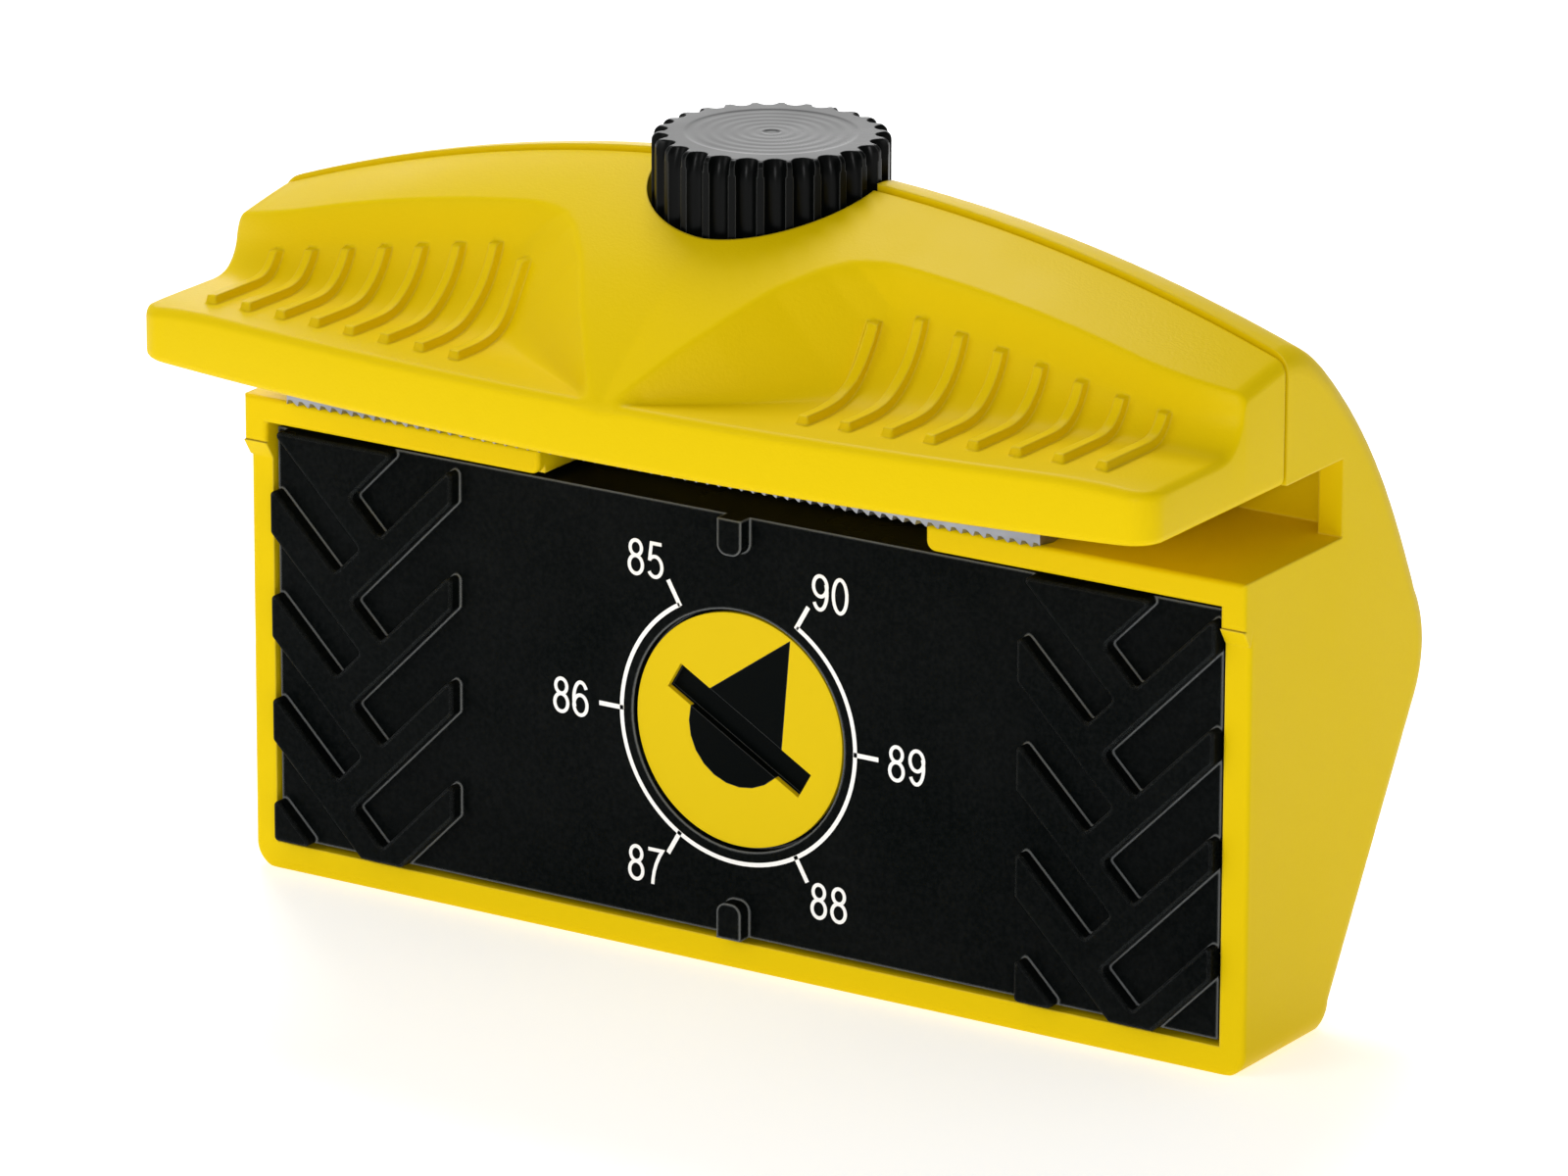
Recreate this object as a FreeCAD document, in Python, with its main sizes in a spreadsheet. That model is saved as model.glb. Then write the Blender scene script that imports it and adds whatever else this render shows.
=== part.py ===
import FreeCAD, Part
import math
import os

"""Edge tuning tool: a file guide for ski and snowboard side edges.

X runs along the file, -Y is the front that faces the ski's base, +Z is up. Millimetres.
The export moves every part by the same amount along Y, so that the origin becomes the bottom centre of the
whole tool's box.
"""

V = FreeCAD.Vector
doc = FreeCAD.newDocument("EdgeTuningTool")

# ---------------------------------------------------------------- driving dimensions
DIMENSIONS = [
    ("half_length", 66.0),        # half of the tool along X
    ("front_y", -5.0),            # front plane of the lower frame
    ("seam_y", 2.0),              # parting plane of the two shells, on the knob's axis
    ("seam_gap", 0.15),           # half of the groove between the shells
    ("back_y", 34.85),            # rearmost point of the back
    ("lip_y", -32.5),             # foremost point of the lip
    ("lip_bow", 357.0),           # radius of the lip's bow in plan
    ("dome_z", 92.0),             # top of the dome at the middle
    ("dome_radius", 183.0),       # radius of the dome along X
    ("side_wall", 3.1),
    ("floor_wall", 3.2),
    ("back_wall", 3.0),
    ("shelf_low", 53.7),          # underside of the file pads
    ("shelf_top", 56.7),          # face that the file lies on
    ("slot_top", 65.7),
    ("slot_back", 14.4),          # rear end of the slot in the side walls
    ("pad_front", 1.3),           # how far the pads stand out of the frame
    ("pad_chamfer", 2.0),         # height of the slope under each pad's side
    ("notch_half", 25.5),         # half of the gap between the pads
    ("file_length", 100.0),
    ("file_width", 20.0),
    ("file_thick", 3.95),
    ("file_left", -59.3),
    ("file_front", -7.2),
    ("file_lift", 0.05),
    ("knob_radius", 13.2),
    ("knob_low", 84.9),
    ("knob_top", 95.4),
    ("knob_flutes", 26.0),
    ("hub_radius", 6.5),
    ("collar_radius", 8.5),
    ("collar_low", 75.9),
    ("stem_radius", 2.95),
    ("neck_radius", 2.2),         # lower end of the stem, through the pressure plate
    ("neck_low", 61.8),
    ("insert_radius", 5.0),
    ("insert_low", 76.4),
    ("insert_height", 14.0),
    ("press_half", 20.0),         # half of the pressure plate along X
    ("press_depth", 16.5),        # pressure plate along Y
    ("press_low", 62.4),
    ("press_thick", 1.8),
    ("rubber_thick", 1.5),
    ("screw_bore", 1.25),         # radius of the screws' tapped holes
    ("screw_head", 2.8),
    ("screw_head_y", 10.4),       # rear end of the cover screws' heads
    ("plate_half", 62.4),         # half of the guide plate along X
    ("plate_low", 3.8),
    ("plate_top", 52.95),
    ("plate_front", -4.6),
    ("plate_thick", 2.6),
    ("tread_height", 1.9),
    ("tread_width", 25.0),
    ("tread_pitch", 12.4),
    ("pivot_y", -1.4),
    ("pivot_z", 49.9),
    ("pin_radius", 1.5),
    ("dial_z", 27.85),
    ("dial_radius", 13.6),
    ("dial_hub_radius", 8.95),
    ("cam_rise", 2.4),            # rise of the face cam over its 300 degrees
    ("cam_track", 7.0),           # distance from the dial's axis to the follower
    ("screw_z", 70.5),
]
sheet = doc.addObject("Spreadsheet::Sheet", "Dims")
for row, (alias, value) in enumerate(DIMENSIONS, start=1):
    sheet.set("A%d" % row, alias.replace("_", " "))
    sheet.set("B%d" % row, str(value))
    sheet.setAlias("B%d" % row, alias)
doc.recompute()


def dim(alias):
    """Value of one cell of the sheet."""
    return float(sheet.get(alias))


HALF = dim("half_length")
FRONT = dim("front_y")
SEAM = dim("seam_y")
GAP = dim("seam_gap")
SHELF_TOP = dim("shelf_top")
SLOT_TOP = dim("slot_top")


# ---------------------------------------------------------------- helpers
def bind(obj, **expressions):
    """Bind properties to expressions; bare names are the sheet's aliases."""
    for prop, text in expressions.items():
        obj.setExpression(prop.replace("__", "."), text)
    return obj


def cylinder(name, radius, height, place, axis="z"):
    """Part::Cylinder bound to the sheet, its base at place (three expressions)."""
    obj = doc.addObject("Part::Cylinder", name)
    bind(obj, Radius=radius, Height=height)
    turns = {"x": V(0, 1, 0), "y": V(-1, 0, 0), "z": V(0, 0, 1)}
    if axis != "z":
        obj.Placement.Rotation = FreeCAD.Rotation(turns[axis], 90)
    bind(obj, Placement__Base__x=place[0], Placement__Base__y=place[1], Placement__Base__z=place[2])
    return obj


def block(name, size, place):
    """Part::Box bound to the sheet, its low corner at place."""
    obj = doc.addObject("Part::Box", name)
    bind(obj, Length=size[0], Width=size[1], Height=size[2])
    bind(obj, Placement__Base__x=place[0], Placement__Base__y=place[1], Placement__Base__z=place[2])
    return obj


def cut(name, base, tool):
    obj = doc.addObject("Part::Cut", name)
    obj.Base = base
    obj.Tool = tool
    return obj


def fuse(name, shapes):
    obj = doc.addObject("Part::MultiFuse", name)
    obj.Shapes = shapes
    return obj


def group(name, shapes):
    """Separate identical solids kept together in one node."""
    obj = doc.addObject("Part::Compound", name)
    obj.Links = shapes
    return obj


def feature(name, shape):
    obj = doc.addObject("Part::Feature", name)
    obj.Shape = shape
    return obj


def solid_box(x_low, x_high, y_low, y_high, z_low, z_high):
    return Part.makeBox(x_high - x_low, y_high - y_low, z_high - z_low, V(x_low, y_low, z_low))


def rod(radius, start, end):
    return Part.makeCylinder(radius, (end - start).Length, start, end - start)


def prism_x(points, x_low, x_high):
    """Prism along X of a polygon in the YZ plane."""
    corners = [V(x_low, y, z) for y, z in points]
    return Part.Face(Part.makePolygon(corners + corners[:1])).extrude(V(x_high - x_low, 0, 0))


def prism_y(points, y_low, y_high):
    """Prism along Y of a polygon in the XZ plane."""
    corners = [V(x, y_low, z) for x, z in points]
    return Part.Face(Part.makePolygon(corners + corners[:1])).extrude(V(0, y_high - y_low, 0))


def prism_z(points, z_low, z_high):
    """Prism along Z of a polygon in the XY plane."""
    corners = [V(x, y, z_low) for x, y in points]
    return Part.Face(Part.makePolygon(corners + corners[:1])).extrude(V(0, 0, z_high - z_low))


def arc(start, middle, end):
    return Part.Arc(start, middle, end).toShape()


def line(start, end):
    return Part.LineSegment(start, end).toShape()


def round_edges(shape, radius, wanted):
    """Fillet the edges for which wanted(edge) is true."""
    edges = [edge for edge in shape.Edges if wanted(edge)]
    return shape.makeFillet(radius, edges)


def dome_height(x):
    """Height of the dome's crest at the seam."""
    return dim("dome_z") - x * x / (2 * dim("dome_radius"))


def lip_front(x):
    """Front of the bowed lip."""
    return dim("lip_y") + x * x / (2 * dim("lip_bow"))


def end_outline():
    """Front view outline of the tool, rounded at its corners and extruded along Y."""
    top_corner = 4.0
    low_corner = 3.5
    shoulder = dome_height(HALF) - top_corner
    crest = dim("dome_z")
    inset = HALF - 0.3 * top_corner
    edges = [
        line(V(-HALF + low_corner, 0, 0), V(HALF - low_corner, 0, 0)),
        arc(V(HALF - low_corner, 0, 0), V(HALF - 0.29 * low_corner, 0, 0.29 * low_corner), V(HALF, 0, low_corner)),
        line(V(HALF, 0, low_corner), V(HALF, 0, shoulder)),
        arc(V(HALF, 0, shoulder), V(inset, 0, shoulder + 0.75 * top_corner),
            V(HALF - top_corner, 0, dome_height(HALF - top_corner))),
        arc(V(HALF - top_corner, 0, dome_height(HALF - top_corner)), V(0, 0, crest),
            V(-HALF + top_corner, 0, dome_height(HALF - top_corner))),
        arc(V(-HALF + top_corner, 0, dome_height(HALF - top_corner)),
            V(-inset, 0, shoulder + 0.75 * top_corner), V(-HALF, 0, shoulder)),
        line(V(-HALF, 0, shoulder), V(-HALF, 0, low_corner)),
        arc(V(-HALF, 0, low_corner), V(-HALF + 0.29 * low_corner, 0, 0.29 * low_corner), V(-HALF + low_corner, 0, 0)),
    ]
    face = Part.Face(Part.Wire(edges))
    return face.extrude(V(0, 80, 0)).translated(V(0, -40, 0))


STATIONS = (-HALF, -HALF / 2, 0, HALF / 2, HALF)
FOOT = 0.3                    # length cut off the loft to leave a flat foot
END_RADIUS = 3.0              # along the floor and up the back of both end faces
RIM_RADIUS = 0.6              # front rim of the lower frame
BOSS_BACK = 23.0
MIDDLE_Y = 0.5 * (dim("lip_y") + dim("back_y"))


# ---------------------------------------------------------------- housing
def housing_section(x):
    """Closed side profile of the housing at one station along X, a little longer than the tool at its foot."""
    crest = dome_height(x)
    front = SEAM + GAP
    share = x * x / (HALF * HALF)
    dome_back = [(6.0, 0.6), (14.0, 5.2 + 1.0 * share), (24.0, 15.5 + 2.7 * share)]
    dome_points = [V(x, front, crest)]
    dome_points += [V(x, y, crest - drop) for y, drop in dome_back]
    dome_points.append(V(x, 32.9, 46.5))
    dome = Part.BSplineCurve()
    dome.interpolate(dome_points)
    heel = V(x, 32.9, 33.0)
    foot_back = V(x, 15.3, 3.0)
    foot = V(x, 12.4, -FOOT)
    edges = [
        line(V(x, FRONT, -FOOT), foot),
        arc(foot, V(x, 14.35, 0.95), foot_back),
        line(foot_back, heel),
        arc(heel, V(x, dim("back_y"), 39.6), dome_points[-1]),
        dome.toShape(),
        line(dome_points[0], V(x, front, SHELF_TOP)),
        line(V(x, front, SHELF_TOP), V(x, FRONT, SHELF_TOP)),
        line(V(x, FRONT, SHELF_TOP), V(x, FRONT, -FOOT)),
    ]
    return Part.Wire(Part.__sortEdges__(edges))


def pad_block(side):
    """One front pad with its chamfered step down the frame's side."""
    top = SHELF_TOP
    low = dim("shelf_low")
    notch = dim("notch_half")
    inner = HALF - dim("side_wall")
    step = top - 5.4
    proud = FRONT - dim("pad_front")
    overlap = FRONT + 0.5
    outline = [(HALF, top), (notch, top), (notch, low), (inner, low), (inner, step), (HALF, step)]
    pad = prism_y([(side * x, z) for x, z in outline], proud, overlap)

    def notch_corner(edge):
        box = edge.BoundBox
        return box.YLength > 1 and abs(abs(box.XMin) - notch) < 0.01 and abs(box.ZMin - low) < 0.01

    def front_rim(edge):
        box = edge.BoundBox
        return abs(box.YMax - proud) < 0.01

    pad = round_edges(round_edges(pad, 1.2, notch_corner), 0.5, front_rim)
    wedge = [(proud, step), (FRONT, step - dim("pad_chamfer")), (overlap, step)]
    chamfer = prism_x(wedge, min(side * inner, side * HALF), max(side * inner, side * HALF))
    return pad.fuse(chamfer)


def mechanism_cavity():
    """Space behind the guide plate."""
    wall = dim("back_wall")
    inner = HALF - dim("side_wall")
    floor = dim("floor_wall")
    roof = dim("shelf_low")
    points = [
        (FRONT - 3, floor), (12.6, floor), (13.7, 5.5), (32.4 - wall, 34.5), (34.3 - wall, 40),
        (32.4 - wall, 47), (29.8 - wall, roof), (FRONT - 3, roof),
    ]
    return prism_x(points, -inner, inner)


def knob_seat():
    """Everything that the knob, its hub and the stem need, on the seam."""
    axis = lambda z: V(0, SEAM, z)
    low = dim("knob_low")
    collar = dim("collar_low")
    seat = rod(dim("knob_radius") + 0.5, axis(low - 0.4), axis(110))
    seat = seat.fuse(rod(dim("hub_radius") + 0.3, axis(collar), axis(low)))
    seat = seat.fuse(rod(dim("collar_radius") + 0.3, axis(collar - 0.3), axis(collar + 3.2)))
    seat = seat.fuse(rod(dim("stem_radius") + 0.35, axis(SLOT_TOP), axis(collar)))
    return seat


def clamp_pocket():
    """Room over the pressure plate for its lift."""
    return solid_box(-21, 21, -4.4, 13.4, SLOT_TOP - 0.5, SLOT_TOP + 3.8)


SCREW_X = (-54.0, -27.0, 27.0, 54.0)
SCREW_SHANK_ROOM = 1.6        # clearance hole in the housing
SCREW_HEAD_ROOM = 3.1
SCREW_HEAD_LENGTH = 1.9


def screw_tools():
    """Clearance holes, countersinks and head pockets of the cover screws."""
    height = dim("screw_z")
    head_back = dim("screw_head_y")
    tools = []
    for x in SCREW_X:
        tools.append(rod(SCREW_SHANK_ROOM, V(x, SEAM - 1, height), V(x, head_back, height)))
        tools.append(rod(SCREW_HEAD_ROOM, V(x, head_back - 2.2, height), V(x, 30, height)))
    return tools


def at_end(box):
    return box.XLength < 0.01 and abs(abs(box.XMin) - HALF) < 0.01


def outer_end_edge(edge):
    """True for the edges of the end faces that run along the floor, up the back and over the dome."""
    box = edge.BoundBox
    along_floor = box.ZMax < 0.01
    up_the_back = box.YMax > 9.5 and box.YLength > 0.5 and box.ZLength > 0.01
    return at_end(box) and (along_floor or up_the_back)


def front_rim_edge(edge):
    """True for the outer edges of the lower frame's front, below the pads."""
    box = edge.BoundBox
    in_front = abs(box.YMin - FRONT) < 0.01 and abs(box.YMax - FRONT) < 0.01
    return in_front and box.ZMin < SHELF_TOP - 10


def make_housing():
    inner = HALF - dim("side_wall")
    body = Part.makeLoft([housing_section(x) for x in STATIONS], True, False)
    body = round_edges(body, END_RADIUS, outer_end_edge)
    body = round_edges(body, RIM_RADIUS, front_rim_edge)
    body = body.fuse([pad_block(1), pad_block(-1)])
    notch = dim("notch_half")
    tools = [
        mechanism_cavity(),
        solid_box(-HALF - 1, HALF + 1, FRONT - 3, 20.0, -2, 0),
        solid_box(-HALF - 1, HALF + 1, FRONT - 3, dim("slot_back"), SHELF_TOP, SLOT_TOP),
        solid_box(-inner, inner, FRONT - 3, 18.0, SHELF_TOP, SLOT_TOP),
        solid_box(-notch, notch, FRONT - 3, 4.5, dim("shelf_low") - 1, SHELF_TOP + 1),
        clamp_pocket(),
        knob_seat(),
    ]
    for side in (-1, 1):
        span = sorted((side * 13.5, side * 60.0))
        tools.append(prism_x([(SEAM - 1, 74.5), (6.5, 74.5), (4.0, 77), (SEAM - 1, 77)], span[0], span[1]))
        pin_start = V(side * (inner - 1), dim("pivot_y"), dim("pivot_z"))
        tools.append(rod(dim("pin_radius"), pin_start, V(side * 65.0, pin_start.y, pin_start.z)))
    body = body.cut(tools + screw_tools())
    boss_z = dim("dial_z") - dim("cam_track")
    boss = rod(4.0, V(0, 11.0, boss_z), V(0, BOSS_BACK, boss_z))
    web = solid_box(-1.2, 1.2, 11.0, BOSS_BACK, boss_z, boss_z + 7)
    body = body.fuse([boss, web]).cut(rod(1.55, V(0, 10.0, boss_z), V(0, 18.0, boss_z)))
    return body.removeSplitter()


# ---------------------------------------------------------------- front cover
def cover_section(x):
    """Closed side profile of the cover before the thumb scoops are cut."""
    back = SEAM - GAP
    crest = dome_height(x)
    lip = lip_front(x)
    lip_top = 72.6
    middle_y = 0.5 * (back + lip)
    middle_z = lip_top + 0.70 * (crest - lip_top)
    edges = [
        line(V(x, lip, SLOT_TOP), V(x, back, SLOT_TOP)),
        line(V(x, back, SLOT_TOP), V(x, back, crest)),
        arc(V(x, back, crest), V(x, middle_y, middle_z), V(x, lip, lip_top)),
        line(V(x, lip, lip_top), V(x, lip, SLOT_TOP)),
    ]
    return Part.Wire(edges)


SCOOP_FLOOR = 72.3
RISER_Y = -9.6


def scoop_tool(side):
    """One thumb scoop: flat floor, concave riser, slanted side of the keystone."""
    plan = [(2.4, -31.5), (15.6, RISER_Y), (HALF + 4, RISER_Y), (HALF + 4, -40), (2.4, -40)]
    tool = prism_z([(side * x, y) for x, y in plan], SCOOP_FLOOR, 100)

    def riser_foot(edge):
        box = edge.BoundBox
        return box.ZMax < SCOOP_FLOOR + 0.01 and abs(box.YMin - RISER_Y) < 0.01 and abs(box.YMax - RISER_Y) < 0.01

    return round_edges(tool, 7.0, riser_foot)


GROOVES = 8
FIRST_GROOVE = 22.7
GROOVE_PITCH = 5.04
GROOVE_HALF = 0.65
GROOVE_DEPTH = 0.5


def groove_tools(side):
    """Finger grooves up the riser of one scoop and out along its floor."""
    tools = []
    for index in range(GROOVES):
        x = side * (FIRST_GROOVE + GROOVE_PITCH * index)
        low, high = x - GROOVE_HALF, x + GROOVE_HALF
        top = 81.5 - 0.9 * max(0, index - 1)
        floor = SCOOP_FLOOR - GROOVE_DEPTH
        tools.append(solid_box(low, high, RISER_Y - 1, RISER_Y + GROOVE_DEPTH, 75.0, top))
        tools.append(solid_box(low, high, -26.4 + 0.5 * index, -17.0, floor, SCOOP_FLOOR + 1))
    return tools


def make_cover():
    body = Part.makeLoft([cover_section(x) for x in STATIONS], True, False)
    body = body.common(end_outline())
    corner = 4.0
    plan_corner = solid_box(HALF - corner, HALF + 1, -40, lip_front(HALF) + corner, 60, 100)
    plan_corner = plan_corner.cut(
        rod(corner, V(HALF - corner, lip_front(HALF) + corner, 50), V(HALF - corner, lip_front(HALF) + corner, 110)))
    tools = [plan_corner, plan_corner.mirror(V(0, 0, 0), V(1, 0, 0)), knob_seat(), clamp_pocket()]
    for side in (-1, 1):
        tools.append(scoop_tool(side))
        tools.extend(groove_tools(side))
        span = sorted((side * 13.5, side * 60.0))
        tools.append(solid_box(span[0], span[1], -6.5, SEAM + 1, 74.5, 77.0))
    height = dim("screw_z")
    for x in SCREW_X:
        tools.append(rod(dim("screw_bore"), V(x, -7.0, height), V(x, SEAM + 1, height)))
    return body.cut(tools).removeSplitter()


# ---------------------------------------------------------------- clamp
def make_knob():
    """Fluted cap with a hub and a collar, hollow inside for the insert."""
    radius = dim("knob_radius")
    low = dim("knob_low")
    top = dim("knob_top")
    axis = lambda z: V(0, SEAM, z)
    cap = rod(radius, axis(low), axis(top))
    cap = round_edges(cap, 1.8, lambda edge: edge.BoundBox.ZMin > top - 0.1)
    count = int(dim("knob_flutes"))
    flutes = []
    for index in range(count):
        angle = 2 * math.pi * index / count
        reach = radius + 0.45
        centre = V(reach * math.cos(angle), SEAM + reach * math.sin(angle), low - 1)
        flutes.append(Part.makeCylinder(1.05, top - low + 2, centre))
    cap = cap.cut(flutes)
    collar = dim("collar_low")
    cap = cap.fuse([rod(dim("hub_radius"), axis(collar), axis(low + 1)),
                    rod(dim("collar_radius"), axis(collar), axis(collar + 2))])
    return cap.cut(rod(5.0, axis(collar - 1), axis(90.5))).removeSplitter()


def ring(name, outer, inner, low, height):
    """Ring round the knob's axis, standing on one height; every value is an expression."""
    cylinder(name + "_body", outer, height, ("0", "Dims.seam_y", low))
    cylinder(name + "_bore", inner, "%s + 2" % height, ("0", "Dims.seam_y", "%s - 1" % low))
    return cut(name, doc.getObject(name + "_body"), doc.getObject(name + "_bore"))


def make_clamp():
    ring("knob_insert", "Dims.insert_radius", "Dims.stem_radius + 0.05", "Dims.insert_low", "Dims.insert_height")
    ring("knob_washer", "Dims.collar_radius - 0.1", "Dims.hub_radius + 0.1", "Dims.collar_low + 2.15", "0.8")
    ring("stem_clip", "Dims.neck_radius + 2", "Dims.neck_radius", "Dims.neck_low + 0.05", "0.5")

    shank_low = "Dims.press_low + Dims.press_thick"
    cylinder("stem_shank", "Dims.stem_radius", "22", ("0", "Dims.seam_y", shank_low))
    cylinder("stem_neck", "Dims.neck_radius", "2.6", ("0", "Dims.seam_y", "Dims.neck_low"))
    fuse("clamp_stem", [doc.stem_shank, doc.stem_neck])

    block("plate_blank", ("2 * Dims.press_half", "Dims.press_depth", "Dims.press_thick"),
          ("-Dims.press_half", "-3.6", "Dims.press_low"))
    cylinder("plate_hole", "Dims.neck_radius", "6", ("0", "Dims.seam_y", "60"))
    cut("pressure_plate", doc.plate_blank, doc.plate_hole)

    block("pad_blank", ("2 * Dims.press_half - 2", "Dims.press_depth - 2", "Dims.rubber_thick"),
          ("1 - Dims.press_half", "-2.6", "Dims.press_low - Dims.rubber_thick"))
    cylinder("pad_hole", "Dims.neck_radius + 2.2", "6", ("0", "Dims.seam_y", "58"))
    cut("pressure_pad", doc.pad_blank, doc.pad_hole)


def make_file():
    block("edge_file", ("Dims.file_length", "Dims.file_width", "Dims.file_thick"),
          ("Dims.file_left", "Dims.file_front", "Dims.shelf_top + Dims.file_lift"))


# ---------------------------------------------------------------- guide plate
LEFT_ARM = 5.65               # raised rib at the strip's left edge, measured along Z
RIGHT_CHANNEL = 8.0           # channel at the strip's right edge, measured along Z
FIRST_RIB = 6.5               # first left rib below the plate's top
RIGHT_LEAD = 1.8              # the right ribs sit this much higher
RIB_CORNER = 0.5
RIB_RIM = 0.35


def tread_strip(x_left):
    """Raised strip with two interleaved rows of slanted channels."""
    top = dim("plate_top")
    low = dim("plate_low")
    width = dim("tread_width")
    pitch = dim("tread_pitch")
    front = dim("plate_front")
    face = front - dim("tread_height")
    strip = solid_box(x_left, x_left + width, face, front + 0.5, low, top)
    channels = []
    left_channel = pitch - LEFT_ARM
    for index in range(-1, 6):
        upper = top - FIRST_RIB - LEFT_ARM - pitch * index
        end = 12.3
        shift = left_channel / 2
        outline = [(-2, upper + 2), (end, upper - end), (end - shift, upper - end - shift),
                   (-2, upper + 2 - left_channel)]
        channels.append(prism_y([(x_left + u, z) for u, z in outline], face - 1, front))
        upper = top - FIRST_RIB + RIGHT_LEAD - pitch * index
        reach = width - 11.1
        shift = RIGHT_CHANNEL / 2
        outline = [(-2, upper + 2), (reach, upper - reach), (reach - shift, upper - reach - shift),
                   (-2, upper + 2 - RIGHT_CHANNEL)]
        channels.append(prism_y([(x_left + width - u, z) for u, z in outline], face - 1, front))
    strip = strip.cut(channels)

    def rib_corner(edge):
        box = edge.BoundBox
        return box.YLength > 1.5 and box.XLength < 0.01 and box.ZLength < 0.01

    def rib_rim(edge):
        box = edge.BoundBox
        return abs(box.YMin - face) < 0.01 and abs(box.YMax - face) < 0.01

    return round_edges(round_edges(strip, RIB_CORNER, rib_corner), RIB_RIM, rib_rim)


SPRING_X = 48.5               # middle of each hinge spring
SPRING_POCKET = 2.3           # radius of its pocket in the plate
DETENT_X = 10.4
DETENT_BALL = 0.9
DETENT_FLOOR = -2.5


def stud_bump(z_low, z_high, round_top):
    """Small raised tongue at the middle of the plate's edge."""
    front = dim("plate_front")
    half = 1.55
    bump = solid_box(-half, half, front - dim("tread_height"), front + 0.5, z_low, z_high)

    def tip(edge):
        box = edge.BoundBox
        level = z_high if round_top else z_low
        return abs(box.ZMin - level) < 0.01 and abs(box.ZMax - level) < 0.01 and box.YLength > 1

    return round_edges(bump, 1.2, tip)


def make_guide_plate():
    half = dim("plate_half")
    low = dim("plate_low")
    top = dim("plate_top")
    front = dim("plate_front")
    back = front + dim("plate_thick")
    dial_z = dim("dial_z")
    pivot = (dim("pivot_y"), dim("pivot_z"))
    face = solid_box(-half, half, front, back, low, top)
    flange = solid_box(-half, half, front, 3.9, top - 2.2, top)
    boss = rod(12.5, V(0, back - 1, dial_z), V(0, 0.9, dial_z))
    barrels = []
    for side in (-1, 1):
        span = sorted((side * (half - 10), side * half))
        barrels.append(rod(2.9, V(span[0], *pivot), V(span[1], *pivot)))
        barrels.append(solid_box(span[0], span[1], front + 1, pivot[0], pivot[1] - 1.5, pivot[1] + 1.5))
    plate = face.fuse([flange, boss] + barrels)
    plate = plate.fuse([tread_strip(-half), tread_strip(half - dim("tread_width")),
                        stud_bump(low, low + 4.2, True), stud_bump(top - 4.2, top, False)])
    tools = [
        rod(dim("dial_radius") + 0.45, V(0, front - 3, dial_z), V(0, front + 1.6, dial_z)),
        rod(dim("dial_hub_radius") + 0.05, V(0, front, dial_z), V(0, 5, dial_z)),
        rod(DETENT_BALL + 0.05, V(DETENT_X, DETENT_FLOOR, dial_z), V(DETENT_X, 5, dial_z)),
        rod(dim("pin_radius") + 0.05, V(-HALF, *pivot), V(HALF, *pivot)),
    ]
    for side in (-1, 1):
        middle = side * SPRING_X
        tools.append(rod(SPRING_POCKET, V(middle - 2.6, *pivot), V(middle + 2.6, *pivot)))
    return plate.cut(tools).removeSplitter()


def make_hinge():
    pins = []
    for name, start in (("left_hinge_pin", "-64.9"), ("right_hinge_pin", "44.9")):
        pins.append(cylinder(name, "Dims.pin_radius", "20", (start, "Dims.pivot_y", "Dims.pivot_z"), "x"))
    group("hinge_pins", pins)


def coil_spring(radius, wire, pitch, turns):
    """Coil round +Z from z = 0, lofted through octagons square to its helix."""
    steps = 12
    slope = pitch / (2 * math.pi)
    sections = []
    for index in range(int(turns * steps) + 1):
        angle = 2 * math.pi * index / steps
        centre = V(radius * math.cos(angle), radius * math.sin(angle), slope * angle)
        along = V(-radius * math.sin(angle), radius * math.cos(angle), slope).normalize()
        outward = V(math.cos(angle), math.sin(angle), 0) * wire
        upward = along.cross(outward)
        corners = [centre + outward * math.cos(k * math.pi / 4) + upward * math.sin(k * math.pi / 4)
                   for k in range(8)]
        sections.append(Part.makePolygon(corners + corners[:1]))
    return Part.makeLoft(sections, True, False)


def hinge_spring(side):
    """Torsion spring round one hinge pin."""
    wire = 0.25
    pitch = 0.62
    turns = 6
    spring = coil_spring(dim("pin_radius") + 0.15 + wire, wire, pitch, turns)
    spring.rotate(V(0, 0, 0), V(0, 1, 0), 90)
    spring.translate(V(side * SPRING_X - pitch * turns / 2, dim("pivot_y"), dim("pivot_z")))
    return spring


# ---------------------------------------------------------------- dial
POINTER_ANGLE = 60.0          # from +X, anticlockwise from the front, at the 90 mark
SLOT_HALF = 10.0
SLOT_WIDTH = 3.4
INLAY = 0.7


def on_dial(points):
    """Turn outline points with the pointer along +X into the dial's place at rest."""
    angle = math.radians(POINTER_ANGLE)
    turned = []
    for u, v in points:
        x = u * math.cos(angle) - v * math.sin(angle)
        z = u * math.sin(angle) + v * math.cos(angle)
        turned.append((x, dim("dial_z") + z))
    return turned


def pointer_prism(y_low, y_high, grow):
    """Pointer and half round behind the coin slot, as one black shape."""
    radius = dim("dial_radius")
    half_round = 6.7 + grow
    outline = [(radius - 0.2 + grow, 0), (0, 6.3 + grow)]
    for step in range(13):
        angle = math.pi / 2 + math.pi * step / 12
        outline.append((half_round * math.cos(angle), half_round * math.sin(angle)))
    outline.append((0, -6.3 - grow))
    return prism_y(on_dial(outline), y_low, y_high)


def coin_slot(y_low, y_high):
    half = SLOT_WIDTH / 2
    outline = [(-half, -SLOT_HALF), (half, -SLOT_HALF), (half, SLOT_HALF), (-half, SLOT_HALF)]
    return prism_y(on_dial(outline), y_low, y_high)


def dial_rod(radius, y_low, y_high):
    return rod(radius, V(0, y_low, dim("dial_z")), V(0, y_high, dim("dial_z")))


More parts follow.
